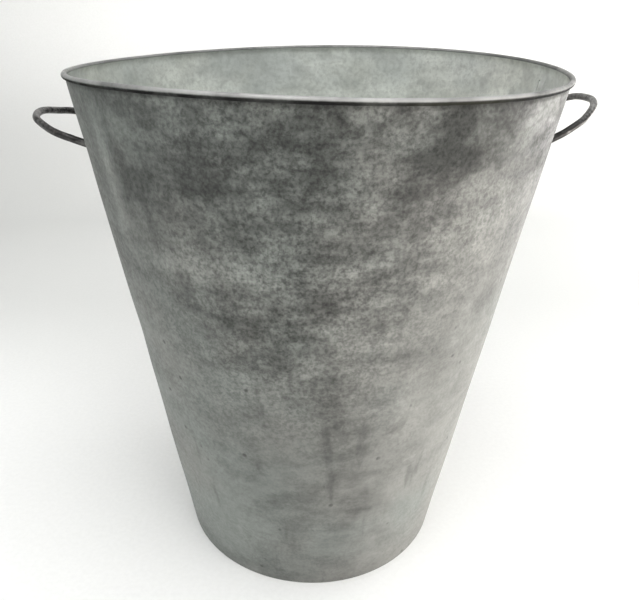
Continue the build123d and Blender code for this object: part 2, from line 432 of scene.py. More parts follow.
def build_wall():
    """The sheet's outer face, rim, inner face and foot as one closed profile, swept round and pierced."""
    columns, rows = wall_azimuths(), wall_heights()
    total, count = len(columns), len(rows)
    az, z = across(columns, count), along(rows, total)
    gone, loops = pierce(az, z, columns, rows)
    drop = HALF * math.sin(TAPER)
    out_r = wall_mid(z) + HALF * math.cos(TAPER)
    out_r = out_r - GROOVE_DEPTH * groove_shape(az, z, out_r)
    in_r = wall_mid(z) - HALF * math.cos(TAPER)
    in_r = in_r - SEAM_DEPTH * seam_shape(az, z, in_r)
    foot_out = offset(foot_run(), -HALF)
    rim = along(offset(rim_run(), -HALF) + offset(rim_run(), HALF)[::-1], total)
    foot = along(offset(foot_run(), HALF)[::-1] + foot_out, total)
    rim_az, foot_az = across(columns, rim.shape[1]), across(columns, foot.shape[1])
    all_az = np.concatenate([az, rim_az, az[:, ::-1], foot_az], 1)
    all_r = np.concatenate([out_r, rim[..., 0], in_r[:, ::-1], foot[..., 0]], 1)
    all_z = np.concatenate([z - drop, rim[..., 1], (z + drop)[:, ::-1], foot[..., 1]], 1)
    profile = all_az.shape[1]
    last_inner = count + rim.shape[1] + count - 1
    skip = gone | {(i, last_inner - k - 1) for i, k in gone}
    faces = ring_faces(total, profile, skip)
    for loop in loops:
        for (i, k), (j, m) in zip(loop, loop[1:] + loop[:1]):
            outside = (i * profile + k, j * profile + m)
            inside = (j * profile + last_inner - m, i * profile + last_inner - k)
            faces.append(outside + inside)
    obj = make_object("wall_zinc", place(all_az, all_r, all_z), faces, 50.0)
    mark_wall(obj, count, len(foot_out), all_az, all_z)
    drop_unused_points(obj)
    return obj


# ---------------------------------------------------------------- where the wall's looks change
# the patina's larger patches, with painted shade (darker under the rim at the upper right) and painted light
# (paler low on the left): azimuth in degrees, height, reach round, reach up, how much darker
STAINS_AND_PAINTED_LIGHT = [
    # front, from left to right
    (-145, 0.090, 0.050, 0.100, -0.022),
    (-143, 0.338, 0.008, 0.034, -0.125),
    (-140, 0.045, 0.050, 0.050, -0.065),
    (-137, 0.325, 0.006, 0.012, 0.045),
    (-135, 0.345, 0.035, 0.045, 0.050),
    (-135, 0.140, 0.045, 0.090, -0.045),
    (-118, 0.315, 0.045, 0.020, 0.030),
    (-112, 0.345, 0.080, 0.032, 0.060),
    (-108, 0.305, 0.050, 0.025, 0.022),
    (-108, 0.288, 0.050, 0.010, -0.025),
    (-108, 0.250, 0.055, 0.030, 0.080),
    (-100, 0.170, 0.050, 0.120, 0.020),
    (-100, 0.008, 0.090, 0.018, 0.055),
    (-92, 0.378, 0.120, 0.014, 0.055),
    (-88, 0.215, 0.010, 0.040, 0.060),
    (-84, 0.250, 0.060, 0.022, 0.040),
    (-80, 0.085, 0.026, 0.060, 0.065),
    (-78, 0.300, 0.050, 0.032, 0.055),
    (-76, 0.100, 0.018, 0.090, 0.030),
    (-72, 0.352, 0.068, 0.036, 0.095),
    (-70, 0.338, 0.025, 0.018, -0.025),
    (-61, 0.367, 0.030, 0.024, 0.095),
    (-50, 0.322, 0.034, 0.026, -0.055),
    (-46, 0.120, 0.065, 0.110, -0.070),
    (-32, 0.355, 0.026, 0.035, 0.070),
    (-24, 0.350, 0.080, 0.055, 0.130),
    (-20, 0.140, 0.040, 0.120, -0.050),
    # back
    (40, 0.300, 0.090, 0.050, 0.060),
    (75, 0.160, 0.060, 0.090, -0.050),
    (120, 0.330, 0.100, 0.040, 0.065),
    (150, 0.110, 0.060, 0.060, 0.055),
    (178, 0.240, 0.070, 0.060, -0.045),
]
GROOVE_GRIME = 0.55
RIGHT_HAND_SIDE = -0.35  # azimuth in radians where the painted light, warmer and brighter, is strongest


def stain(az, z):
    """How much darker the patina's larger patches and the painted shade make the outside; negative amounts
    are paler, painted light.
    """
    total = np.zeros(z.shape)
    for at, height, wide, tall, amount in STAINS_AND_PAINTED_LIGHT:
        near = (wrap(az - math.radians(at)) * wall_mid(z) / wide) ** 2 + ((z - height) / tall) ** 2
        total = total + amount * np.exp(-near)
    return total


def coarseness(az, z):
    """How strongly the patina's grain shows: most high on the front and on part of the back."""
    front = np.exp(-((wrap(az + 1.70) / 0.58) ** 2)) * (0.05 + 0.95 * step((z - 0.11) / 0.18))
    back = 0.5 * np.exp(-((wrap(az - 1.3) / 0.9) ** 2))
    right = 0.25 * np.exp(-((wrap(az + 1.05) / 0.38) ** 2)) * step((z - 0.25) / 0.07)
    return front + right + back


def mark_wall(obj, rows, foot_points, az, z):
    """Mark the inside, the rim's worn crest, the dirt and painted shade under the rim, the patina's patches
    with their painted light and shade, and the painted light on the right-hand side.
    """
    columns, profile = z.shape
    curl_start = rows + NECK_POINTS
    bead = slice(curl_start + CURL_POINTS, curl_start + 2 * CURL_POINTS)
    turned = CURL_DEGREES * (1 - np.arange(CURL_POINTS) / CURL_POINTS)
    inside, crest, grime = np.ones(profile), np.zeros(profile), np.zeros(profile)
    inside[: bead.start] = 0.0
    inside[-foot_points:] = 0.0
    inside[bead] = 1 - step((turned + 5) / 25)
    crest[bead] = 0.5 * step((turned - 5) / 20) + 0.5 * step((turned - 78) / 22)
    crest[bead] *= 1 - step((turned - 176) / 26)
    # painted shade with some dirt: darker on the neck under the bead, in the curl and on the bead's lower
    # side
    grime[rows:curl_start] = np.linspace(0.0, 0.6, NECK_POINTS)
    grime[curl_start : bead.start] = 1.0
    grime[bead] = step((turned - 184) / 24)
    on_outside = along(np.arange(profile) < rows, columns)
    groove = groove_shape(az, z, wall_mid(z)) * on_outside
    set_attribute(obj, "inside", along(inside, columns))
    set_attribute(obj, "crest", along(crest, columns))
    set_attribute(obj, "grime", np.maximum(along(grime, columns), GROOVE_GRIME * groove))
    set_attribute(obj, "stain", stain(az, z))
    set_attribute(obj, "coarse", coarseness(az, z))
    set_attribute(obj, "warm", np.cos(az - RIGHT_HAND_SIDE))


# ---------------------------------------------------------------- rim wire, base and solder
def build_rim_wire():
    """Wire ring in the bead, its two ends a little apart at the seam."""
    columns, sides = 480, 14
    end_gap = 0.5 * MM / BEAD_R
    az = np.linspace(end_gap / 2, 2 * np.pi - end_gap / 2, columns) + SEAM_AZIMUTH
    az = across(az, sides)
    turn = along(full_turn(sides, 0.0), columns)
    r = BEAD_R + WIRE_RADIUS * np.cos(turn) + sway(az, BEAD_Z)
    z = BEAD_Z + WIRE_RADIUS * np.sin(turn) + lift(az, BEAD_Z)
    points = np.stack([r * np.cos(az), r * np.sin(az), z], -1)
    return make_object("rim_wire_steel", points, tube_faces(columns, sides))


def pan_run():
    """Mid-line of the base pan, from the flange's edge to near the axis."""
    rings = 46
    heading = math.pi / 2 - TAPER
    start = wall_mid(PAN_FOOT) - (SHEET + 0.05 * MM) / math.cos(TAPER)
    run = []
    for d in np.linspace(0, PAN_FLANGE, 6):
        run.append((start + d * math.cos(heading), PAN_FOOT + d * math.sin(heading), heading))
    run += bend(run[-1], heading, PAN_BEND, math.pi / 2 + TAPER, 10)
    edge_r, edge_z, _ = run[-1]
    for i in range(1, rings):
        run.append((edge_r * (1 - i / rings), edge_z, math.pi))
    return run


def pan_sag(r, az):
    """The disc isn't flat: it dishes and has a few soft buckles."""
    free = np.clip(1 - (r / PAN_FREE_RADIUS) ** 2, 0, 1)
    wave = 0.35 * MM * np.sin(3 * az + 40 * r) + 0.22 * MM * np.sin(5 * az - 70 * r + 1.3)
    return free * (step(r / 0.04) * wave - PAN_DISH)


def build_pan():
    """Disc and flange as one closed skin, whose two faces each end in a fan on the axis."""
    columns = 240
    over, under = offset(pan_run(), -HALF), offset(pan_run(), HALF)
    profile = np.array(over + under[::-1])
    rows = len(profile)
    crown = len(over) - 1
    r, z = along(profile[:, 0], columns), along(profile[:, 1], columns)
    az = across(full_turn(columns), rows)
    z = z + pan_sag(r, az) * (r < PAN_FREE_RADIUS)
    points = np.stack([r * np.cos(az), r * np.sin(az), z], -1).reshape(-1, 3)
    middles = [[0, 0, profile[k, 1] - PAN_DISH] for k in (crown, crown + 1)]
    points = np.concatenate([points, middles])
    top, bottom = len(points) - 2, len(points) - 1
    faces = ring_faces(columns, rows, {(i, crown) for i in range(columns)})
    for i in range(columns):
        j = (i + 1) % columns
        faces.append((i * rows + crown, j * rows + crown, top))
        faces.append((j * rows + crown + 1, i * rows + crown + 1, bottom))
    obj = make_object("base_zinc", points, faces)
    set_attribute(obj, "inside", np.ones(len(points)))
    return obj


def build_base_solder():
    """Hollow-faced fillet with a lumpy edge, in the corner between the pan and the wall."""
    columns = 720
    leg_size = 2.55 * MM
    az = full_turn(columns)
    leg = leg_size * (1 + 0.16 * np.sin(17 * az + 1) + 0.12 * np.sin(31 * az + 2.2) + 0.08 * np.sin(67 * az))
    top = PAN_TOP + SOLDER_GAP
    wall_r = solder_face(top)
    profile = []
    for turn in np.linspace(math.pi / 2, 0, 9):
        out = leg * (1 - math.sin(turn)) ** 1.2
        up = leg * (1 - math.cos(turn)) ** 1.2
        profile.append((wall_r - out, top + up))
    profile.append((np.full(columns, wall_r - 1.0 * MM), np.full(columns, top - 0.15 * MM)))
    profile.append((np.full(columns, solder_face(top - 0.6 * MM)), np.full(columns, top - 0.4 * MM)))
    z = np.stack([height for _, height in profile], 1)
    r = np.minimum(np.stack([radius for radius, _ in profile], 1), solder_face(z))
    az = across(az, len(profile))
    points = np.stack([r * np.cos(az), r * np.sin(az), z], -1)
    return make_object("base_solder_run", points, ring_faces(columns, len(profile)), 60)


def build_seam_solder():
    """Lumpy run along the seam's step, its back tucked in against the fold."""
    rows, round_points = 420, 5
    z = np.linspace(15 * MM, 373 * MM, rows)
    size = 1 + 0.22 * np.sin(190 * z + 0.4) + 0.16 * np.sin(410 * z + 2) + 0.1 * np.sin(930 * z)
    leg = 1.1 * MM * size
    inner = solder_face(z)
    fold_edge = SEAM_WIDTH / 2 + SOLDER_GAP
    # distance from the fold's edge and depth from the wall, at each side of the run's profile
    profile = [(np.zeros(rows), np.zeros(rows))]
    for turn in np.linspace(0, math.pi / 2, round_points)[:-1]:
        profile.append((1.1 * leg * math.cos(turn), leg * math.sin(turn)))
    profile.append((np.full(rows, -0.25 * MM), 0.95 * leg))
    profile.append((np.full(rows, -0.05 * MM), 0.5 * leg))
    points = []
    for out, depth in profile:
        points.append(place(SEAM_AZIMUTH + (fold_edge + out) / inner, inner - depth, z))
    points = np.stack(points, 1)
    return make_object("seam_solder_run", points, tube_faces(rows, len(profile), flip=True), 60)


# ---------------------------------------------------------------- handles
HANDLE_SIDES = 20
HANDLE_SIZE = 0.985
HANDLE_WAVES = (3, 5, 8)
HANDLE_WAVINESS = 0.8 * MM
SCALE_RIPPLES = 10
SCALE_DEPTH = 0.012 * MM
END_ROUNDING = 0.8 * MM


def arc_points(centre, radius, first, last, count):
    """Points round an arc, from the first angle to the last."""
    turns = np.linspace(first, last, count)
    return [(centre[0] + radius * math.cos(t), centre[1] + radius * math.sin(t)) for t in turns]


def handle_half():
    """One side of the handle's mid-line: x outwards from the hinge line, y along it."""
    bend_centre = (-CLINCH_START, HANDLE_HALF_SPAN - CLINCH_BEND)
    inner_x = -CLINCH_START - CLINCH_BEND
    points = [(inner_x, bend_centre[1] - back) for back in np.linspace(CLINCH_LENGTH, 0, 9)]
    points += arc_points(bend_centre, CLINCH_BEND, math.pi, math.pi / 2, 9)[1:]
    points += [(x, HANDLE_HALF_SPAN) for x in np.linspace(-CLINCH_START, HANDLE_LEG, 8)[1:]]
    return points + arc_points((HANDLE_LEG, 0.0), HANDLE_HALF_SPAN, math.pi / 2, 0.0, 56)[1:]


def handle_line(seed):
    """Whole mid-line with the slight waviness of hand-bent wire, and the way along it at each point."""
    half = handle_half()
    whole = half + [(x, -y) for x, y in reversed(half[:-1])]
    line = np.array([(x, y, 0.0) for x, y in whole])
    rng = np.random.default_rng(seed)
    free = step((line[:, 0] - 4 * MM) / (12 * MM))
    steps = np.linalg.norm(np.diff(line, axis=0), axis=1)
    way = np.concatenate([[0], np.cumsum(steps)])
    for waves in HANDLE_WAVES:
        phase = rng.uniform(0, 6.28, 2)
        size = free * HANDLE_WAVINESS / waves
        turn = 2 * np.pi * waves * way / way[-1]
        line[:, 2] += size * np.sin(turn + phase[0])
        line[:, 0] += 0.7 * size * np.sin(turn + phase[1])
    return line, way


def handle_radii(way, seed):
    """Wire radius along and round the handle: faint scale ripples and rounded ends."""
    rng = np.random.default_rng(seed)
    turn = full_turn(HANDLE_SIDES, 0.0)
    radii = np.full((len(way), HANDLE_SIDES), HANDLE_SIZE * HANDLE_WIRE_RADIUS)
    for _ in range(SCALE_RIPPLES):
        waves = rng.uniform(4, 30)
        lobes = int(rng.integers(1, 4))
        phase = rng.uniform(0, 6.28)
        ripple = np.sin(2 * np.pi * waves * way / way[-1] + phase)[:, None]
        radii = radii + SCALE_DEPTH * ripple * np.cos(lobes * turn + phase)[None]
    from_end = np.minimum(way, way[-1] - way)
    rounding = 0.80 + 0.20 * np.clip(from_end / END_ROUNDING, 0, 1) ** 0.5
    return radii * rounding[:, None]


def sweep(line, radii):
    """Rings of points round a line, one row of radii for each of its points."""
    tangents = np.gradient(line, axis=0)
    tangents /= np.linalg.norm(tangents, axis=1)[:, None]
    side = np.cross(np.array([0.0, 0.0, 1.0]), tangents)
    side /= np.linalg.norm(side, axis=1)[:, None]
    over = np.cross(tangents, side)
    turn = full_turn(radii.shape[1], 0.0)[None, :, None]
    rings = side[:, None] * np.cos(turn) + over[:, None] * np.sin(turn)
    return line[:, None] + rings * radii[:, :, None]


def rest_pose(node, hinge, side):
    """The CAD handle's tilt from level at rest, and how far it is pushed in through its holes."""
    points = np.array([v.co for v in frame["nodes"][node].data.vertices])
    reach = np.stack([side * (points[:, 0] - hinge.x), points[:, 2] - hinge.z], 1)
    flattest = np.linalg.svd(reach - reach.mean(0))[2][0]
    tilt = math.atan2(flattest[1], flattest[0])
    tilt = (tilt + math.pi / 2) % math.pi - math.pi / 2
    reached = (reach @ np.array([math.cos(tilt), math.sin(tilt)])).max()
    return tilt, HANDLE_REACH + HANDLE_WIRE_RADIUS - reached


def build_handle(name, node, joint, seed):
    """The wire loop, set at its hinge with the CAD handle's tilt and depth."""
    hinge = Vector(joint["pos_m"])
    side = 1 if hinge.x > 0 else -1
    tilt, pushed_in = rest_pose(node, hinge, side)
    line, way = handle_line(seed)
    line[:, 0] -= pushed_in
    grid = sweep(line, handle_radii(way, seed + 1))
    turned = Matrix.Rotation(-tilt, 4, "Y")
    if side < 0:
        turned = Matrix.Rotation(math.pi, 4, "Z") @ turned
    place_at = Matrix.Translation(hinge) @ turned
    points = grid.reshape(-1, 3) @ np.array(place_at.to_3x3()).T + np.array(place_at.translation)
    obj = make_object(name, points, tube_faces(len(line), HANDLE_SIDES, flip=True))
    grip = np.clip(line[:, 0] / (20 * MM) - 1, 0, 1)
    set_attribute(obj, "grip", across(grip, HANDLE_SIDES))
    return obj


# ---------------------------------------------------------------- material nodes
class Nodes:
    """Short calls for building the node tree of a material or a world."""

    def __init__(self, owner):
        self.owner = owner
        owner.use_nodes = True
        self.tree = owner.node_tree
        self.tree.nodes.clear()

    def add(self, kind, **settings):
        node = self.tree.nodes.new(kind)
        for key, value in settings.items():
            setattr(node, key, value)
        return node

    def feed(self, socket, value):
        """Link a socket to another node's output, or set its own value."""
        if isinstance(value, bpy.types.NodeSocket):
            self.tree.links.new(value, socket)
        elif value is not None:
            socket.default_value = value

    def colour(self, value):
        """The same colour with its alpha; another node's output stays as it is."""
        return (*value, 1.0) if isinstance(value, tuple) and len(value) == 3 else value

    def coords(self, scale=(1, 1, 1), shift=(0, 0, 0)):
        source = self.add("ShaderNodeTexCoord").outputs["Object"]
        node = self.add("ShaderNodeMapping")
        self.feed(node.inputs["Vector"], source)
        self.feed(node.inputs["Scale"], scale)
        self.feed(node.inputs["Location"], shift)
        return node.outputs["Vector"]

    def position(self):
        """Outputs X, Y and Z: the place in the object, in metres."""
        split = self.add("ShaderNodeSeparateXYZ")
        self.feed(split.inputs[0], self.add("ShaderNodeTexCoord").outputs["Object"])
        return split.outputs

    def noise(self, vector, scale, detail=4, rough=0.55, distortion=0.0):
        node = self.add("ShaderNodeTexNoise")
        self.feed(node.inputs["Vector"], vector)
        self.feed(node.inputs["Scale"], scale)
        self.feed(node.inputs["Detail"], detail)
        self.feed(node.inputs["Roughness"], rough)
        self.feed(node.inputs["Distortion"], distortion)
        return node.outputs["Fac"]

    def cells(self, vector, scale):
        node = self.add("ShaderNodeTexVoronoi", feature="F1")
        self.feed(node.inputs["Vector"], vector)
        self.feed(node.inputs["Scale"], scale)
        return node.outputs["Distance"]

    def attribute(self, name):
        return self.add("ShaderNodeAttribute", attribute_name=name).outputs["Fac"]

    def camera_ray(self):
        return self.add("ShaderNodeLightPath").outputs["Is Camera Ray"]

    def ramp(self, value, low, high, first=0.0, last=1.0):
        """Smooth change from first to last as the value goes from low to high."""
        node = self.add("ShaderNodeMapRange", interpolation_type="SMOOTHSTEP")
        self.feed(node.inputs["Value"], value)
        self.feed(node.inputs["From Min"], low)
        self.feed(node.inputs["From Max"], high)
        self.feed(node.inputs["To Min"], first)
        self.feed(node.inputs["To Max"], last)
        return node.outputs["Result"]

    def math(self, operation, a, b=0.0):
        node = self.add("ShaderNodeMath", operation=operation)
        self.feed(node.inputs[0], a)
        self.feed(node.inputs[1], b)
        return node.outputs[0]

    def weighted(self, *pairs):
        """Sum of each value times its weight."""
        terms = [self.math("MULTIPLY", value, weight) for value, weight in pairs]
        total = terms[0]
        for term in terms[1:]:
            total = self.math("ADD", total, term)
        return total

    def mix(self, factor, a, b, blend="MIX"):
        node = self.add("ShaderNodeMix", data_type="RGBA", blend_type=blend)
        self.feed(node.inputs["Factor"], factor)
        self.feed(node.inputs[6], self.colour(a))
        self.feed(node.inputs[7], self.colour(b))
        return node.outputs[2]

    def bump(self, height, strength, distance, normal=None):
        node = self.add("ShaderNodeBump")
        self.feed(node.inputs["Strength"], strength)
        self.feed(node.inputs["Distance"], distance)
        self.feed(node.inputs["Height"], height)
        self.feed(node.inputs["Normal"], normal)
        return node.outputs["Normal"]

    def surface(self, colour, rough, metal, normal=None, specular=0.5):
        node = self.add("ShaderNodeBsdfPrincipled")
        self.feed(node.inputs["Base Color"], self.colour(colour))
        self.feed(node.inputs["Roughness"], rough)
        self.feed(node.inputs["Metallic"], metal)
        self.feed(node.inputs["Specular IOR Level"], specular)
        self.feed(node.inputs["Normal"], normal)
        return node.outputs[0]

    def glow(self, colour):
        node = self.add("ShaderNodeEmission")
        self.feed(node.inputs["Color"], self.colour(colour))
        return node.outputs[0]

    def background(self, colour, strength=1.0):
        node = self.add("ShaderNodeBackground")
        self.feed(node.inputs["Color"], self.colour(colour))
        self.feed(node.inputs["Strength"], strength)
        return node.outputs[0]

    def mix_shaders(self, factor, a, b):
        node = self.add("ShaderNodeMixShader")
        self.feed(node.inputs[0], factor)
        self.feed(node.inputs[1], a)
        self.feed(node.inputs[2], b)
        return node.outputs[0]

    def finish(self, shader, output="ShaderNodeOutputMaterial"):
        self.feed(self.add(output).inputs["Surface"], shader)
        return self.owner


# ---------------------------------------------------------------- materials, with linear RGB colours
DARK_PATINA = (0.028, 0.0285, 0.027)
PALE_PATINA = (0.27, 0.275, 0.265)
WARM_TINT = (0.982, 0.972, 0.945)
COOL_TINT = (0.952, 1.0, 0.972)
DARK_GRAIN = (0.36, 0.36, 0.36)
PALE_GRAIN = (1.60, 1.60, 1.59)
SPECK = (0.045, 0.046, 0.043)
DULL_OXIDE = (0.58, 0.59, 0.555)
PALE_OXIDE = (0.83, 0.84, 0.80)
BLUE_OXIDE = (0.50, 0.525, 0.525)
OXIDE_BLOT = (0.42, 0.425, 0.415)
OXIDE_GRAIN = (0.28, 0.285, 0.27)
# tints of the inside: painted shade to the left, painted light to the right
PAINTED_SHADE_TINT = (0.86, 0.885, 0.865)
PAINTED_LIGHT_TINT = (1.10, 1.10, 1.08)
DULL_CREST = (0.23, 0.23, 0.226)
BRIGHT_CREST = (0.36, 0.36, 0.352)
# near-black dirt colours, which also paint the shade under the rim
BLACK_DIRT_AND_SHADE = (0.009, 0.009, 0.009)
OLIVE_DIRT_AND_SHADE = (0.022, 0.022, 0.017)
DULL_SOLDER = (0.40, 0.41, 0.40)
BRIGHT_SOLDER = (0.60, 0.61, 0.60)
SOLDER_PITS = (0.16, 0.155, 0.14)
BLACK_SCALE = (0.030, 0.029, 0.028)
GREY_SCALE = (0.16, 0.158, 0.152)
RUBBED_STEEL = (0.34, 0.335, 0.33)
RUST = (0.07, 0.05, 0.035)
DULL_PAPER = (0.86, 0.865, 0.855)
PALE_PAPER = (0.89, 0.895, 0.885)
PAINTED_PAPER_SHADE = (0.52, 0.53, 0.515)
HORIZON = (0.97, 0.975, 0.97)


def zinc_patterns(n):
    """The noise patterns, coarse to fine, that the zinc's colours, shine and bump share."""
    here = n.coords()
    return SimpleNamespace(
        clouds=n.noise(here, 8.0, 5, 0.6, 0.3),
        patches=n.noise(n.coords((1, 1, 1.5), (3.1, 0.4, 0.2)), 21.0, 4, 0.58, 0.3),
        blots=n.noise(n.coords((1, 1, 1.2), (1.1, 6.4, 2.2)), 62.0, 3, 0.55, 0.3),
        streaks=n.noise(n.coords((1, 1, 7), (0.3, 1.7, 0)), 24.0, 2, 0.55, 0.2),
        runs=n.noise(n.coords((10, 10, 1), (0.9, 0.1, 0)), 8.0, 3, 0.5),
        grain=n.noise(here, 290.0, 5, 0.66, 0.2),
        fine=n.noise(n.coords((1, 1, 1), (5, 2, 1)), 560.0, 2, 0.6),
        specks=n.cells(n.coords(shift=(2.2, 0.7, 4.1)), 58.0),
        tints=n.noise(n.coords(shift=(8, 1, 3)), 9.0, 3),
        coarse=n.attribute("coarse"),
        warm=n.attribute("warm"),
    )


def patina_tone(n, p, stain_and_painted_light_patches):
    """How pale the patina is, about 0.24 to 0.65: noise, less a darkening up the wall that is partly patina
    and partly painted shade, and less the stains with their painted light and shade.
    """
    tone = n.weighted((p.clouds, 0.22), (p.patches, 0.34), (p.streaks, 0.18), (p.blots, 0.26))
    contrast = n.ramp(p.coarse, 0.0, 1.0, 0.64, 0.86)
    tone = n.math("ADD", n.math("MULTIPLY", n.math("SUBTRACT", tone, 0.5), contrast), 0.5)
    # darker up the wall: partly patina, partly painted shade standing in for the floor's light that
    # brightens the lower wall
    up_the_wall = n.ramp(n.position()["Z"], 0.02, 0.33)
    shade = n.math("ADD", n.math("MULTIPLY", up_the_wall, 0.045), stain_and_painted_light_patches)
    return n.math("SUBTRACT", tone, n.math("ADD", shade, 0.013))


def patina_colour(n, p, tone, fleck):
    """Outside: cloudy patina, tinted warmer to the right as painted light, with grain, dark runs and small
    specks.
    """
    # painted light: the right-hand side is tinted warmer, on top of the random tint
    tint_and_painted_warmth = n.math("SUBTRACT", p.tints, n.math("MULTIPLY", p.warm, 0.13))
    tint = n.mix(n.ramp(tint_and_painted_warmth, 0.36, 0.66), WARM_TINT, COOL_TINT)
    smooth = n.mix(1.0, n.mix(n.ramp(tone, 0.24, 0.65), DARK_PATINA, PALE_PATINA), tint, "MULTIPLY")
    grained = n.mix(1.0, smooth, n.mix(fleck, DARK_GRAIN, PALE_GRAIN), "MULTIPLY")
    strength = n.math("ADD", n.ramp(p.patches, 0.60, 0.42, 0.03, 0.12), n.math("MULTIPLY", p.coarse, 0.80))
    colour = n.mix(strength, smooth, grained)
    colour = n.mix(n.ramp(p.runs, 0.60, 0.74, 0.0, 0.35), colour, DARK_PATINA)
    spots = n.math("MULTIPLY", n.ramp(p.specks, 0.14, 0.05), n.ramp(p.blots, 0.47, 0.56, 0.0, 0.75))
    return n.mix(spots, colour, SPECK)


def oxide_colour(n, p):
    """Inside: pale oxide with bluish clouds, darker blots and grain, with painted light a little brighter to
    the right and painted shade to the left.
    """
    colour = n.mix(n.ramp(p.patches, 0.36, 0.66), DULL_OXIDE, PALE_OXIDE)
    colour = n.mix(n.ramp(p.clouds, 0.42, 0.62, 0.0, 0.6), colour, BLUE_OXIDE)
    colour = n.mix(n.ramp(p.blots, 0.46, 0.68, 0.0, 0.45), colour, OXIDE_BLOT)
    colour = n.mix(n.ramp(p.grain, 0.40, 0.68, 0.0, 0.34), colour, OXIDE_GRAIN)
    # painted light and shade: brighter to the right, darker to the left
    return n.mix(1.0, colour, n.mix(n.ramp(p.warm, 0.1, 0.8), PAINTED_SHADE_TINT, PAINTED_LIGHT_TINT), "MULTIPLY")


def zinc_material():
    """Aged zinc: dark cloudy patina outside, paler oxide inside, a worn rim with dirt and painted shade
    below it.
    """
    n = Nodes(bpy.data.materials.new("aged_zinc"))
    p = zinc_patterns(n)
    inside = n.attribute("inside")
    stain_and_painted_light_patches = n.math("MULTIPLY", n.attribute("stain"), n.ramp(p.patches, 0.38, 0.62, 1.15, 0.85))
    tone = patina_tone(n, p, stain_and_painted_light_patches)
    fleck = n.ramp(n.weighted((p.grain, 0.65), (p.fine, 0.35)), 0.32, 0.66)
    colour = n.mix(inside, patina_colour(n, p, tone, fleck), oxide_colour(n, p))
    # the rim: worn bright on its crest, dark below it with dirt and painted shade
    crest = n.math("MULTIPLY", n.attribute("crest"), n.ramp(p.patches, 0.30, 0.55, 0.45, 0.95))
    colour = n.mix(crest, colour, n.mix(n.ramp(p.patches, 0.35, 0.65), DULL_CREST, BRIGHT_CREST))
    grime = n.math("MULTIPLY", n.attribute("grime"), n.ramp(p.blots, 0.40, 0.62, 1.0, 0.86))
    colour = n.mix(grime, colour, n.mix(n.ramp(p.clouds, 0.50, 0.62), BLACK_DIRT_AND_SHADE, OLIVE_DIRT_AND_SHADE))
    # shine: stains, painted shade, and the dirt and painted shade under the rim dull the metal
    dull = n.math("MAXIMUM", grime, n.math("MULTIPLY", n.ramp(stain_and_painted_light_patches, 0.0, 0.17), 0.8))
    metal = n.math("MULTIPLY", n.ramp(tone, 0.35, 0.65, 0.45, 0.65), n.ramp(inside, 0, 1, 1.0, 0.75))
    metal = n.math("MULTIPLY", metal, n.ramp(dull, 0.0, 1.0, 1.0, 0.0))
    rough = n.ramp(fleck, 0.0, 1.0, 0.66, 0.50)
    rough = n.math("ADD", rough, n.ramp(p.streaks, 0.35, 0.65, -0.05, 0.05))
    rough = n.math("ADD", rough, n.math("MULTIPLY", grime, 0.2))
    normal = n.bump(n.weighted((p.grain, 0.7), (p.fine, 0.3)), 0.15, 0.3 * MM)
    normal = n.bump(p.streaks, 0.2, 0.6 * MM, normal)
    return n.finish(n.surface(colour, rough, metal, normal, n.ramp(dull, 0.0, 1.0, 0.5, 0.05)))


def solder_material():
    """Dull lumpy solder with darker pits."""
    n = Nodes(bpy.data.materials.new("dull_solder"))
    here = n.coords()
    lumps = n.noise(here, 180.0, 4, 0.6)
    film = n.noise(here, 40.0, 4, 0.6)
    colour = n.mix(n.ramp(film, 0.4, 0.62), DULL_SOLDER, BRIGHT_SOLDER)
    colour = n.mix(n.ramp(lumps, 0.6, 0.75, 0.0, 0.5), colour, SOLDER_PITS)
    rough = n.ramp(lumps, 0.3, 0.7, 0.35, 0.6)
    return n.finish(n.surface(colour, rough, 0.85, n.bump(lumps, 0.5, 0.6 * MM)))


def wire_material():
    """Dark oxidised steel wire, rubbed brighter where hands hold it."""
    n = Nodes(bpy.data.materials.new("dark_steel_wire"))
    here = n.coords()
    scale = n.noise(here, 420.0, 4, 0.65)
    patch = n.noise(here, 70.0, 4, 0.6)
    colour = n.mix(n.ramp(patch, 0.40, 0.60), BLACK_SCALE, GREY_SCALE)
    rub = n.math("MULTIPLY", n.attribute("grip"), n.ramp(scale, 0.42, 0.60))
    colour = n.mix(n.math("MULTIPLY", rub, 0.6), colour, RUBBED_STEEL)
    colour = n.mix(n.ramp(scale, 0.62, 0.76, 0.0, 0.5), colour, RUST)
    rough = n.ramp(scale, 0.3, 0.7, 0.32, 0.6)
    return n.finish(n.surface(colour, rough, 0.8, n.bump(scale, 0.5, 0.4 * MM)))


def stage_material():
    """Pale paper, darker with painted shade low in the bend behind the bucket; far from the object the
    camera sees it as bright as the empty world.
    """
    n = Nodes(bpy.data.materials.new("pale_paper"))
    fibre = n.noise(n.coords(), 260.0, 3, 0.6)
    colour = n.mix(n.ramp(fibre, 0.3, 0.7), DULL_PAPER, PALE_PAPER)
    at = n.position()
    # painted shade: the paper darkens towards the bend behind the bucket
    behind = n.math("MULTIPLY", n.ramp(at["Y"], 0.08, 0.45), n.ramp(at["Z"], 0.35, 0.05))
    colour = n.mix(n.math("MULTIPLY", behind, 0.5), colour, PAINTED_PAPER_SHADE)
    paper = n.surface(colour, 0.85, 0.0, n.bump(fibre, 0.1, 0.2 * MM))
    sides = n.ramp(n.math("ABSOLUTE", at["X"]), 1.05, 2.6)
    front = n.ramp(at["Y"], -0.65, -1.0)
    far = n.math("MULTIPLY", n.math("MAXIMUM", sides, front), n.camera_ray())
    return n.finish(n.mix_shaders(far, paper, n.glow(HORIZON)))


# ---------------------------------------------------------------- stage, lights and camera
STAGE_FRONT = -3.0
STAGE_BACK = 1.3
STAGE_BEND = 0.5
STAGE_HALF_WIDTH = 4.0
STAGE_HEIGHT = 3.0
STAGE_BEND_STEPS = 24

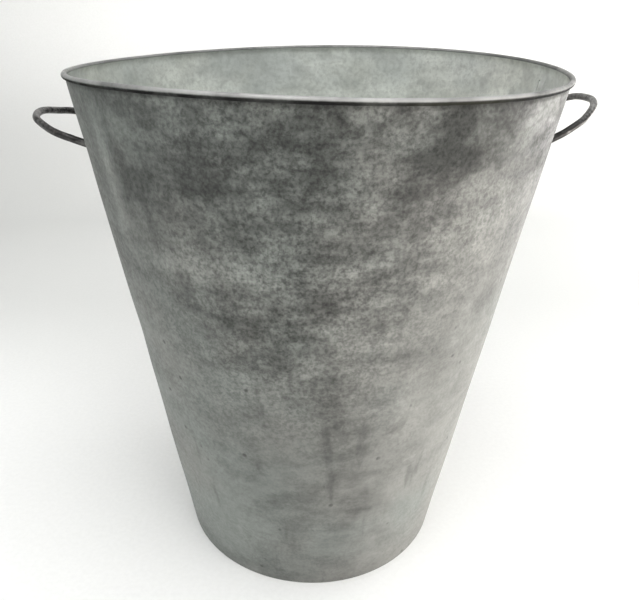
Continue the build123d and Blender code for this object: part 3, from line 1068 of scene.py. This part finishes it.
SKY_DARK = (0.20, 0.205, 0.21)
SKY_BRIGHT = (1.0, 1.0, 0.99)
SKY_RISE = (0.30, 0.80)
SKY_BRIGHT_SIDE = (0.55, 0.60, 0.58)
SKY_STRENGTH = 0.42

# name, place, aimed at, width and height, watts, colour
LIGHTS = [
    ("window_right", (1.15, -0.80, 0.12), (0, 0, 0.12), (1.5, 0.22), 27, (1.0, 0.955, 0.915)),
    ("window_edge", (1.2, 0.45, 0.12), (0, 0, 0.12), (0.9, 0.22), 9, (1.0, 0.97, 0.945)),
    ("fill_left", (-1.2, -0.6, 0.15), (0, 0, 0.10), (1.2, 0.28), 5, (0.96, 1.0, 0.975)),
    ("top_soft", (-0.12, -0.45, 1.35), (-0.05, -0.1, 0.0), (1.5, 1.2), 20, (1.0, 1.0, 1.0)),
    ("backdrop_wash", (1.1, 0.5, 1.5), (0.9, 1.2, 0.2), (0.8, 0.8), 6, (1.0, 1.0, 1.0)),
]

CAMERA_PLACE = (-0.02698, -0.47196, 0.42881)
CAMERA_YAW = 0.0543
CAMERA_PITCH = 0.4499
CAMERA_ROLL = 0.0161
CAMERA_SHIFT = 0.01069
SENSOR_MM = 36.0
LENS_MM = 35.715


def build_stage():
    """Pale sweep: a floor that curves up into a backdrop."""
    floor_end = STAGE_BACK - STAGE_BEND
    line = [(STAGE_FRONT, 0.0), (0.0, 0.0), (floor_end, 0.0)]
    for i in range(1, STAGE_BEND_STEPS + 1):
        turn = math.pi / 2 * i / STAGE_BEND_STEPS
        line.append((floor_end + STAGE_BEND * math.sin(turn), STAGE_BEND * (1 - math.cos(turn))))
    line.append((STAGE_BACK, STAGE_HEIGHT))
    points = [(x, y, z) for x in (-STAGE_HALF_WIDTH, STAGE_HALF_WIDTH) for y, z in line]
    count = len(line)
    faces = [(k, count + k, count + k + 1, k + 1) for k in range(count - 1)]
    backdrop = make_object("backdrop_sweep", points, faces, 80)
    backdrop.data.materials.append(stage_material())


def build_world():
    """Soft sky, brighter behind the bucket at the upper right; the camera itself sees it as plain pale."""
    n = Nodes(bpy.data.worlds.new("studio"))
    facing = n.add("ShaderNodeVectorMath", operation="DOT_PRODUCT")
    n.feed(facing.inputs[0], n.add("ShaderNodeTexCoord").outputs["Generated"])
    n.feed(facing.inputs[1], SKY_BRIGHT_SIDE)
    level = n.add("ShaderNodeMath", operation="MULTIPLY_ADD")
    n.feed(level.inputs[0], facing.outputs["Value"])
    n.feed(level.inputs[1], 0.5)
    n.feed(level.inputs[2], 0.5)
    ramp = n.add("ShaderNodeValToRGB")
    for stop, position, colour in zip(ramp.color_ramp.elements, SKY_RISE, (SKY_DARK, SKY_BRIGHT)):
        stop.position = position
        stop.color = (*colour, 1)
    n.feed(ramp.inputs["Fac"], level.outputs[0])
    sky = n.background(ramp.outputs["Color"], SKY_STRENGTH)
    seen = n.mix_shaders(n.camera_ray(), sky, n.background(HORIZON))
    bpy.context.scene.world = n.finish(seen, "ShaderNodeOutputWorld")


def area_light(name, at, towards, size, power, colour):
    """Soft rectangular light at a place, aimed at another."""
    data = bpy.data.lights.new(name, "AREA")
    data.shape = "RECTANGLE"
    data.size, data.size_y = size
    data.energy = power
    data.color = colour
    lamp = bpy.data.objects.new(name, data)
    lamp.location = at
    lamp.rotation_euler = (Vector(towards) - Vector(at)).to_track_quat("-Z", "Y").to_euler()
    bpy.context.scene.collection.objects.link(lamp)


def build_camera():
    """Camera in front of the bucket, looking down on it and slightly turned and rolled."""
    data = bpy.data.cameras.new("camera")
    data.sensor_width = SENSOR_MM
    data.lens = LENS_MM
    data.shift_x = CAMERA_SHIFT
    camera = bpy.data.objects.new("camera", data)
    camera.location = CAMERA_PLACE
    turn = Matrix.Rotation(-CAMERA_YAW, 4, "Z") @ Matrix.Rotation(math.pi / 2 - CAMERA_PITCH, 4, "X")
    camera.rotation_euler = (turn @ Matrix.Rotation(CAMERA_ROLL, 4, "Z")).to_euler()
    bpy.context.scene.collection.objects.link(camera)
    bpy.context.scene.camera = camera


# ---------------------------------------------------------------- put together
def finish_piece(obj, body, material, node):
    """Give the piece its looks, let it move with its body and stand for its CAD node."""
    obj.data.materials.append(material)
    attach(obj, body)
    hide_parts(node)


zinc, solder, wire = zinc_material(), solder_material(), wire_material()
finish_piece(build_wall(), "bucket", zinc, "wall_sheet")
finish_piece(build_pan(), "bucket", zinc, "base_pan")
finish_piece(build_rim_wire(), "bucket", wire, "rim_wire")
finish_piece(build_base_solder(), "bucket", solder, "base_solder")
finish_piece(build_seam_solder(), "bucket", solder, "seam_solder")
JOINTS = {joint["child"]: joint for joint in frame["joints"]}
for handle, seed in (("left_handle", 31), ("right_handle", 58)):
    piece = build_handle(handle + "_wire", handle, JOINTS[handle], seed)
    finish_piece(piece, handle, wire, handle)

build_stage()
build_world()
for light in LIGHTS:
    area_light(*light)
build_camera()
bpy.context.scene.view_settings.view_transform = "Standard"
